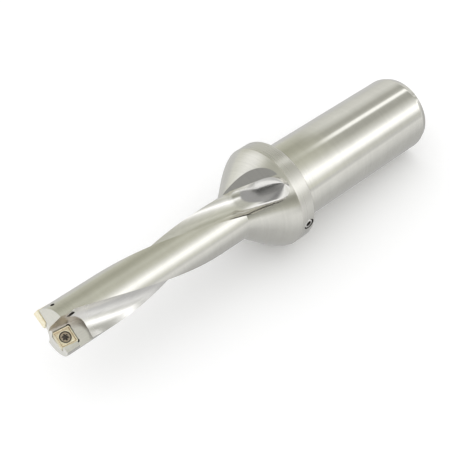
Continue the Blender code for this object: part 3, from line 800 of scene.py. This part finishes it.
def screw_rings(inserts):
    """Rings of an insert screw from its tip, up the cone head, over its rim and into the socket.

    Each ring is (r cos a, r sin a, z). Below the socket's rim r is the six-lobe outline. Also gives
    each row's finish: bare outside and painted shade in the socket.
    """
    a = np.linspace(0.0, 2 * math.pi, SCREW_STEPS, endpoint=False)
    head = inserts.sink_diameter / 2 - inserts.screw_fit
    shank = inserts.tapped_hole / 2 - inserts.screw_fit
    top = -inserts.screw_recess
    lobe = inserts.lobe_radius
    low = -inserts.screw_length + shank / 3
    # Each row is the radius, the height and the depth of its lobes
    rows = [(shank * 0.66, -inserts.screw_length, 0.0), (shank, low, 0.0)]
    z = np.linspace(low, -inserts.sink_depth - inserts.screw_fit / 2, THREAD_ROWS)
    thread = shank - THREAD_DEPTH * (np.arange(THREAD_ROWS) % 2)
    rows += [(radius, height, 0.0) for radius, height in zip(thread, z)]
    rows += [
        (head - 0.00006, top - 0.00016, 0.0),
        (head, top - 0.00008, 0.0),
        (head - 0.00002, top - 0.00002, 0.0),
        (head - 0.00008, top, 0.0),
        (lobe + 0.0001, top, 0.0),
        (lobe + 0.00004, top - 0.00001, 0.2),
        (lobe, top - 0.00004, 0.34),
        (lobe * 0.96, top - inserts.lobe_depth * 0.85, 0.34),
        (lobe * 0.5, top - inserts.lobe_depth, 0.1),
    ]
    rings = [flat_ring(lobed(radius, a, depth), a, height) for radius, height, depth in rows]
    slots = np.zeros(len(rings), dtype=int)
    # The socket takes the painted shade steel: painted shade inside it
    slots[-3:] = SCREW_FINISHES.index("Painted shade steel")
    return np.stack(rings), slots


def hexagon_radius(a, across):
    """Distance to a hexagon's side, the angle in degrees: (across / 2) / cos(a mod 60 - 30)."""
    b = (a % (math.pi / 3)) - math.pi / 6
    return across / 2 / np.cos(b)


def plug_rings(sizes):
    """Rings of the plug screw: a headless cylinder with a chamfer and a six-sided socket.

    Each ring is (r cos a, r sin a, z). In the socket r is the hexagon's. Also gives each row's
    finish: milled outside and painted shade in the socket.
    """
    a = np.linspace(0.0, 2 * math.pi, PLUG_STEPS, endpoint=False)
    radius = sizes.plug_diameter / 2
    # Each row is the radius and the height
    rows = [
        (radius - 0.0003, -0.0035),
        (radius, -0.0032),
        (radius, -0.0004),
        (radius - 0.0001, -0.00022),
        (radius - 0.00022, -0.00015),
        (hexagon_radius(a, 0.0017) * 0.5 + 0.0005, -0.00017),
        (hexagon_radius(a, 0.0015), -0.0003),
        (hexagon_radius(a, 0.0015), -0.0013),
        (hexagon_radius(a, 0.0008), -0.0015),
    ]
    slots = np.full(len(rows), SCREW_FINISHES.index("Milled steel"))
    # The socket takes the painted shade steel: painted shade inside it
    slots[5:] = SCREW_FINISHES.index("Painted shade steel")
    return np.stack([flat_ring(r, a, z) for r, z in rows]), slots


class Value:
    """A number that runs through shader nodes. Arithmetic on it adds Math nodes."""

    def __init__(self, shader, socket):
        self.shader = shader
        self.socket = socket

    def maths(self, operation, *values):
        """A Math node of one operation on these values."""
        node = self.shader.node("ShaderNodeMath", {"operation": operation}, list(values))
        return Value(self.shader, node.outputs[0])

    def __add__(self, other):
        return self.maths("ADD", self, other)

    def __radd__(self, other):
        return self.maths("ADD", other, self)

    def __sub__(self, other):
        return self.maths("SUBTRACT", self, other)

    def __rsub__(self, other):
        return self.maths("SUBTRACT", other, self)

    def __mul__(self, other):
        return self.maths("MULTIPLY", self, other)

    def __rmul__(self, other):
        return self.maths("MULTIPLY", other, self)

    def __truediv__(self, other):
        return self.maths("DIVIDE", self, other)

    def between(self, low, high):
        """0 below low, 1 above high, straight between them."""
        node = self.shader.node("ShaderNodeMapRange", {"clamp": True}, [self, low, high, 0.0, 1.0])
        return Value(self.shader, node.outputs[0])


class Shader:
    """The node tree of a material or a world, emptied, with its output node."""

    def __init__(self, owner, output):
        owner.use_nodes = True
        self.tree = owner.node_tree
        self.tree.nodes.clear()
        self.output = self.node(output, {}, {})

    def node(self, kind, settings, values):
        """A node of a kind, with its settings and then its inputs: numbers, sockets or nodes."""
        made = self.tree.nodes.new(kind)
        for name, value in settings.items():
            if name == "stops":
                ramp = made.color_ramp
                while len(ramp.elements) < len(value):
                    ramp.elements.new(1.0)
                for element, (place, shade) in zip(ramp.elements, value):
                    element.position = place
                    element.color = (*shade, 1.0)
            else:
                setattr(made, name, value)
        for name, value in values.items() if isinstance(values, dict) else enumerate(values):
            if isinstance(value, Value):
                value = value.socket
            elif isinstance(value, bpy.types.Node):
                value = value.outputs[0]
            if isinstance(value, bpy.types.NodeSocket):
                self.tree.links.new(value, made.inputs[name])
            else:
                made.inputs[name].default_value = value
        return made

    def end(self, surface):
        """Links a node to the output."""
        self.tree.links.new(surface.outputs[0], self.output.inputs["Surface"])

    def parts(self, vector):
        """The x, y and z of a vector."""
        split = self.node("ShaderNodeSeparateXYZ", {}, [vector])
        return [Value(self, part) for part in split.outputs]

    def place(self):
        """Object coordinates and their x, y and z."""
        coordinates = self.node("ShaderNodeTexCoord", {}, {}).outputs["Object"]
        return (coordinates, *self.parts(coordinates))

    def vector(self, x, y, z):
        """A vector from three numbers or values."""
        return self.node("ShaderNodeCombineXYZ", {}, [x, y, z]).outputs[0]

    def noise(self, vector, scale, detail, roughness):
        """Noise from 0 to 1 at a vector."""
        inputs = {"Vector": vector, "Scale": scale, "Detail": detail, "Roughness": roughness}
        return Value(self, self.node("ShaderNodeTexNoise", {}, inputs).outputs["Fac"])


def mix_colours(shader, factor, low, high):
    """The output of a Mix node between two colours, each a socket or three numbers."""
    low, high = [(*end, 1.0) if isinstance(end, (list, tuple)) else end for end in (low, high)]
    inputs = {0: factor, 6: low, 7: high}
    return shader.node("ShaderNodeMix", {"data_type": "RGBA"}, inputs).outputs[2]


def metal(shader, colour, metallic, rough, strength, distance, height):
    """Ends a material in a Principled surface, with a bump of that strength and distance."""
    inputs = {"Strength": strength, "Distance": distance, "Height": height}
    bump = shader.node("ShaderNodeBump", {}, inputs)
    inputs = {"Base Color": colour, "Metallic": metallic, "Roughness": rough, "Normal": bump}
    shader.end(shader.node("ShaderNodeBsdfPrincipled", {}, inputs))


def steel(name, base, rough, vary, line_height, vector_of):
    """Bare steel: cut lines raise the surface and change its roughness, soft clouds its colour.

    The roughness is a function of the height along the drill. The flange's rim is a little darker,
    a painted darker reflection.
    """
    material = bpy.data.materials.new(name)
    shader = Shader(material, "ShaderNodeOutputMaterial")
    coordinates, x, y, z = shader.place()
    lines = shader.noise(vector_of(shader, x, y, z), 1.0, 3.0, 0.6)
    clouds = shader.noise(coordinates, 160.0, 3.0, 0.55)
    specks = shader.noise(coordinates, 2600.0, 2.0, 0.6)
    shade = lines * 0.5 + clouds * 0.35 + specks * 0.15
    dark = [channel * 0.92 for channel in base]
    light = [min(1.0, channel * 1.05) for channel in base]
    base_colour = mix_colours(shader, shade.between(0.32, 0.68), dark, light)
    # A painted darker reflection: the flange's rim is mixed a little towards a darker steel
    rim = z.between(*RIM_START) * (1 - z.between(*RIM_END))
    base_colour = mix_colours(shader, rim * 0.12, base_colour, [channel * 0.3 for channel in base])
    roughness = rough(z) + (lines * 0.6 + clouds * 0.4 - 0.5) * vary
    metal(shader, base_colour, 1.0, roughness, 0.5, line_height, lines + specks * 0.3)


def ground_steel(finishes):
    """Ground steel: fine rings round the drill's axis, glossier on the shank than past it."""

    def rings(shader, x, y, z):
        return shader.vector(x * 30.0, y * 30.0, z * 5200.0)

    def rough(z):
        return z.between(*SHANK_TO_RIM) * 0.15 - z.between(*RIM_TO_CONE) * 0.07 + 0.13

    steel("Ground steel", finishes.ground_steel, rough, 0.06, 0.0000007, rings)


def milled_steel(finishes):
    """Milled steel: marks along the drill, glossiest at the flutes' mouths and dull at the tip."""

    def marks(shader, x, y, z):
        return shader.vector(x * 2400.0, y * 2400.0, z * 160.0)

    def rough(z):
        return z.between(*MOUTH_TO_FLUTE) * 0.09 + z.between(*FLUTE_TO_TIP) * 0.16 + 0.15

    steel("Milled steel", finishes.milled_steel, rough, 0.10, 0.000003, marks)


def coating(name, base, metallic, rough, height):
    """A thin coating with a fine grain and soft clouds of a deeper tone."""
    material = bpy.data.materials.new(name)
    shader = Shader(material, "ShaderNodeOutputMaterial")
    coordinates = shader.place()[0]
    grain = shader.noise(coordinates, 9000.0, 3.0, 0.6)
    clouds = shader.noise(coordinates, 1100.0, 2.0, 0.5)
    deep = [base[0] * 0.90, base[1] * 0.84, base[2] * 0.74]
    pale = [min(1.0, base[0] * 1.04), min(1.0, base[1] * 1.06), min(1.0, base[2] * 1.12)]
    share = (grain * 0.4 + clouds * 0.6).between(0.34, 0.66)
    base_colour = mix_colours(shader, share, deep, pale)
    metal(shader, base_colour, metallic, rough + (grain - 0.5) * 0.2, 0.4, height, grain)


def finishes_named(names, finishes):
    """The materials of these names. What isn't there yet is made."""
    bare = {"Ground steel": ground_steel, "Milled steel": milled_steel}
    for name in names:
        if name not in bpy.data.materials:
            if name in bare:
                bare[name](finishes)
            else:
                base, *rest = COATINGS[name]
                coating(name, getattr(finishes, base), *rest)
    return [bpy.data.materials[name] for name in names]


class DRILL_OT_body(bpy.types.Operator):
    """Replace the faceted body by a smooth ground and milled one"""

    bl_idname = "drill.body"
    bl_label = "Body"

    def execute(self, context):
        scene = context.scene
        sizes, inserts = scene.drill_body, scene.drill_inserts
        finishes = finishes_named(BODY_FINISHES, scene.drill_finishes)
        blank = turned(blank_profile(sizes), scene.drill_stage.steps_round)
        body = loft("finished_body", blank, finishes)
        cutters = []
        for name, rings, slot in body_cutters(sizes, inserts):
            cutters.append(loft(name, rings, finishes, slot))
            if name.startswith(("flute", "mouth")):
                triangulate(cutters[-1])
        subtract(body, cutters)
        smooth(body, 14.0)
        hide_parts("drill_body")
        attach(body, "root")
        return {"FINISHED"}


class DRILL_OT_inserts(bpy.types.Operator):
    """Replace the plain inserts by gold ones with chip formers"""

    bl_idname = "drill.inserts"
    bl_label = "Inserts"

    def execute(self, context):
        scene = context.scene
        sizes, inserts = scene.drill_body, scene.drill_inserts
        finishes = finishes_named(INSERT_FINISHES, scene.drill_finishes)
        for inner in (True, False):
            which = "inner" if inner else "outer"
            rings, slots = insert_rings(sizes, inserts)
            rings = placed(rings, insert_frame(sizes, inserts, inner))
            made = loft(f"{which}_gold_insert", rings, finishes, slots, closed=True)
            smooth(made, 50.0)
            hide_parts(f"{which}_insert")
            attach(made, "root")
        return {"FINISHED"}


class DRILL_OT_screws(bpy.types.Operator):
    """Replace the plain screws by ones with six-lobe and six-sided sockets"""

    bl_idname = "drill.screws"
    bl_label = "Screws"

    def execute(self, context):
        scene = context.scene
        sizes, inserts = scene.drill_body, scene.drill_inserts
        finishes = finishes_named(SCREW_FINISHES, scene.drill_finishes)
        wanted = []
        for inner in (True, False):
            which = "inner" if inner else "outer"
            place = insert_frame(sizes, inserts, inner)
            names = f"{which}_lobed_screw", f"{which}_insert_screw"
            wanted.append((*names, screw_rings(inserts), place))
        wanted.append(("socket_plug", "flange_plug_screw", plug_rings(sizes), plug_frame(sizes)))
        for name, node, (rings, slots), place in wanted:
            made = loft(name, placed(rings, place), finishes, slots)
            smooth(made, 40.0)
            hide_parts(node)
            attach(made, "root")
        return {"FINISHED"}


def view_axes(stage):
    """The view's own axes: across the drill, towards the camera's side, and up the drill's axis."""
    turn = stage.turn
    across = Vector((math.cos(turn), -math.sin(turn), 0.0))
    toward = Vector((math.sin(turn), math.cos(turn), 0.0))
    return across, toward, Vector((0.0, 0.0, 1.0))


def pale_floor(finishes, side):
    """A white floor that is seen from above only and keeps the shadow.

    Gloss on the drill sees it as a glowing grey that depends on the distance to the side of the
    axis, darker near the axis as a painted shadow of the drill, and as a brighter one past the tip.
    """
    material = bpy.data.materials.new("Pale floor")
    shader = Shader(material, "ShaderNodeOutputMaterial")
    rays = shader.node("ShaderNodeLightPath", {}, {}).outputs
    geometry = shader.node("ShaderNodeNewGeometry", {}, {}).outputs
    plain = shader.node("ShaderNodeBsdfDiffuse", {}, {"Color": (*finishes.floor, 1.0)})
    lit = shader.node("ShaderNodeBsdfDiffuse", {}, {"Color": (*(SEEN_FLOOR,) * 3, 1.0)})
    seen = shader.node("ShaderNodeMixShader", {}, [rays["Is Camera Ray"], plain, lit])
    x, y, z = shader.parts(geometry["Position"])
    # The glow that gloss sees is darker near the axis: a painted shadow of the drill
    off_axis = (x * side.x + y * side.y).between(-FLOOR_REACH, FLOOR_REACH)
    stops = [((where / FLOOR_REACH + 1) / 2, (level,) * 3) for where, level in FLOOR_LEVELS]
    level = shader.node("ShaderNodeValToRGB", {"stops": stops}, [off_axis]).outputs[0]
    mirrored = mix_colours(shader, z.between(*PAST_TIP), level, (PAST_TIP_LEVEL,) * 3)
    mirror = shader.node("ShaderNodeEmission", {}, {"Color": mirrored, "Strength": 1.0})
    whole = shader.node("ShaderNodeMixShader", {}, [rays["Is Glossy Ray"], seen, mirror])
    clear = shader.node("ShaderNodeBsdfTransparent", {}, {})
    shader.end(shader.node("ShaderNodeMixShader", {}, [geometry["Backfacing"], whole, clear]))
    return material


def studio_sky(scene, stage):
    """White for the camera, plain for soft light, and softboxes for gloss.

    The softboxes are bands that depend on the angle of a ray round the drill's axis, from the
    view's own zero. Rays that lean far to the rear see one set, as the shank's do, those that lean
    less another, and rays that lean to the tip a third. Rays closer to the axis see greys above
    the drill: the bend in a flute's ramp a dark one, the ramp and the flat beside it lighter ones.
    """
    world = bpy.data.worlds.new("Studio")
    scene.world = world
    shader = Shader(world, "ShaderNodeOutputWorld")
    x, y, z = shader.parts(shader.node("ShaderNodeTexCoord", {}, {}).outputs["Generated"])
    across, toward, _ = view_axes(stage)
    along = x * across.x + y * across.y
    up = x * toward.x + y * toward.y
    share = up.maths("ARCTAN2", up, along) / (2 * math.pi) + 0.5
    ramps = []
    for levels, olive in BANDS:
        stops = []
        for degrees, level in levels:
            blue = level * (1 - olive * max(0.0, 1 - level))
            shade = [part / SKY_STRENGTH for part in (level, level, blue)]
            stops.append(((degrees + 180.0) / 360.0, shade))
        ramps.append(shader.node("ShaderNodeValToRGB", {"stops": stops}, [share]).outputs[0])
    bands = mix_colours(shader, z.between(*REAR_LEAN), ramps[0], ramps[1])
    bands = mix_colours(shader, z.between(*TIP_LEAN), bands, ramps[2])
    for rise, least, most, level in AXIS_LEVELS:
        part = z.between(*rise) * up.between(*least) * (1 - up.between(*most))
        bands = mix_colours(shader, part, bands, (level / SKY_STRENGTH,) * 3)
    rays = shader.node("ShaderNodeLightPath", {}, {}).outputs
    gloss = shader.node("ShaderNodeBackground", {}, {"Color": bands, "Strength": SKY_STRENGTH})
    plain = shader.node("ShaderNodeBackground", {}, {"Color": WHITE, "Strength": stage.sky})
    white = shader.node("ShaderNodeBackground", {}, {"Color": WHITE, "Strength": 1.0})
    lit = shader.node("ShaderNodeMixShader", {}, [rays["Is Glossy Ray"], plain, gloss])
    shader.end(shader.node("ShaderNodeMixShader", {}, [rays["Is Camera Ray"], lit, white]))


class DRILL_OT_stage(bpy.types.Operator):
    """Add the pale floor, the soft sky and the camera"""

    bl_idname = "drill.stage"
    bl_label = "Floor, sky and camera"

    def execute(self, context):
        scene = context.scene
        stage, sizes = scene.drill_stage, scene.drill_body
        across, toward, axis = view_axes(stage)
        down = across * math.cos(stage.floor_heading) + toward * math.sin(stage.floor_heading)
        shank, rim = sizes.shank_diameter / 2, sizes.flange_diameter / 2
        low = sizes.shank_chamfer_length
        slope = (rim - shank) / (sizes.shank_length - low)
        along = (axis + down * slope).normalized()
        side = down.cross(axis)
        start = down * shank + axis * low
        reach = stage.floor_size / 2
        s = np.array([[-1, -1], [1, -1], [1, 1], [-1, 1]]) * reach
        points = s[:, :1] * np.array(along) + s[:, 1:] * np.array(side) + np.array(start)
        mesh = bpy.data.meshes.new("Floor")
        mesh.from_pydata(points.tolist(), [], [(0, 1, 2, 3)])
        mesh.update()
        if mesh.polygons[0].normal.dot(down) > 0:
            mesh.flip_normals()
        floor = bpy.data.objects.new("Floor", mesh)
        mesh.materials.append(pale_floor(scene.drill_finishes, -side))
        scene.collection.objects.link(floor)
        studio_sky(scene, stage)
        lens = bpy.data.cameras.new("Camera")
        lens.lens = stage.lens
        lens.sensor_width = 36.0
        camera = bpy.data.objects.new("Camera", lens)
        right, up = [across * x + toward * y + axis * z for x, y, z in (VIEW_RIGHT, VIEW_UP)]
        back = right.cross(up).normalized()
        up = back.cross(right).normalized()
        right = up.cross(back)
        turned_to = Matrix((right, up, back)).transposed().to_4x4()
        place = toward * CAMERA_TOWARD + axis * (sizes.shank_length + CAMERA_OVER_FLANGE)
        camera.matrix_world = Matrix.Translation(place) @ turned_to
        scene.collection.objects.link(camera)
        scene.camera = camera
        scene.view_settings.view_transform = "Standard"
        return {"FINISHED"}


class DRILL_PT_finish(bpy.types.Panel):
    """Lists the drill's pieces"""

    bl_label = "Drill"
    bl_idname = "DRILL_PT_finish"
    bl_space_type = "VIEW_3D"
    bl_region_type = "UI"
    bl_category = "Drill"

    def draw(self, context):
        for operator in OPERATORS:
            self.layout.operator(operator.bl_idname)


GROUPS = {
    "drill_body": BodySizes,
    "drill_inserts": InsertSizes,
    "drill_finishes": Finishes,
    "drill_stage": StageSettings,
}
OPERATORS = (DRILL_OT_body, DRILL_OT_inserts, DRILL_OT_screws, DRILL_OT_stage)


def register():
    """Registers the groups, the operators and the panel."""
    for kind in (*GROUPS.values(), *OPERATORS, DRILL_PT_finish):
        bpy.utils.register_class(kind)
    for name, kind in GROUPS.items():
        setattr(bpy.types.Scene, name, PointerProperty(type=kind))


def unregister():
    """Takes them away again."""
    for name in GROUPS:
        delattr(bpy.types.Scene, name)
    for kind in reversed((*GROUPS.values(), *OPERATORS, DRILL_PT_finish)):
        bpy.utils.unregister_class(kind)


def main():
    """Makes every piece."""
    register()
    bpy.ops.drill.body()
    bpy.ops.drill.inserts()
    bpy.ops.drill.screws()
    bpy.ops.drill.stage()


if __name__ == "__main__":
    main()
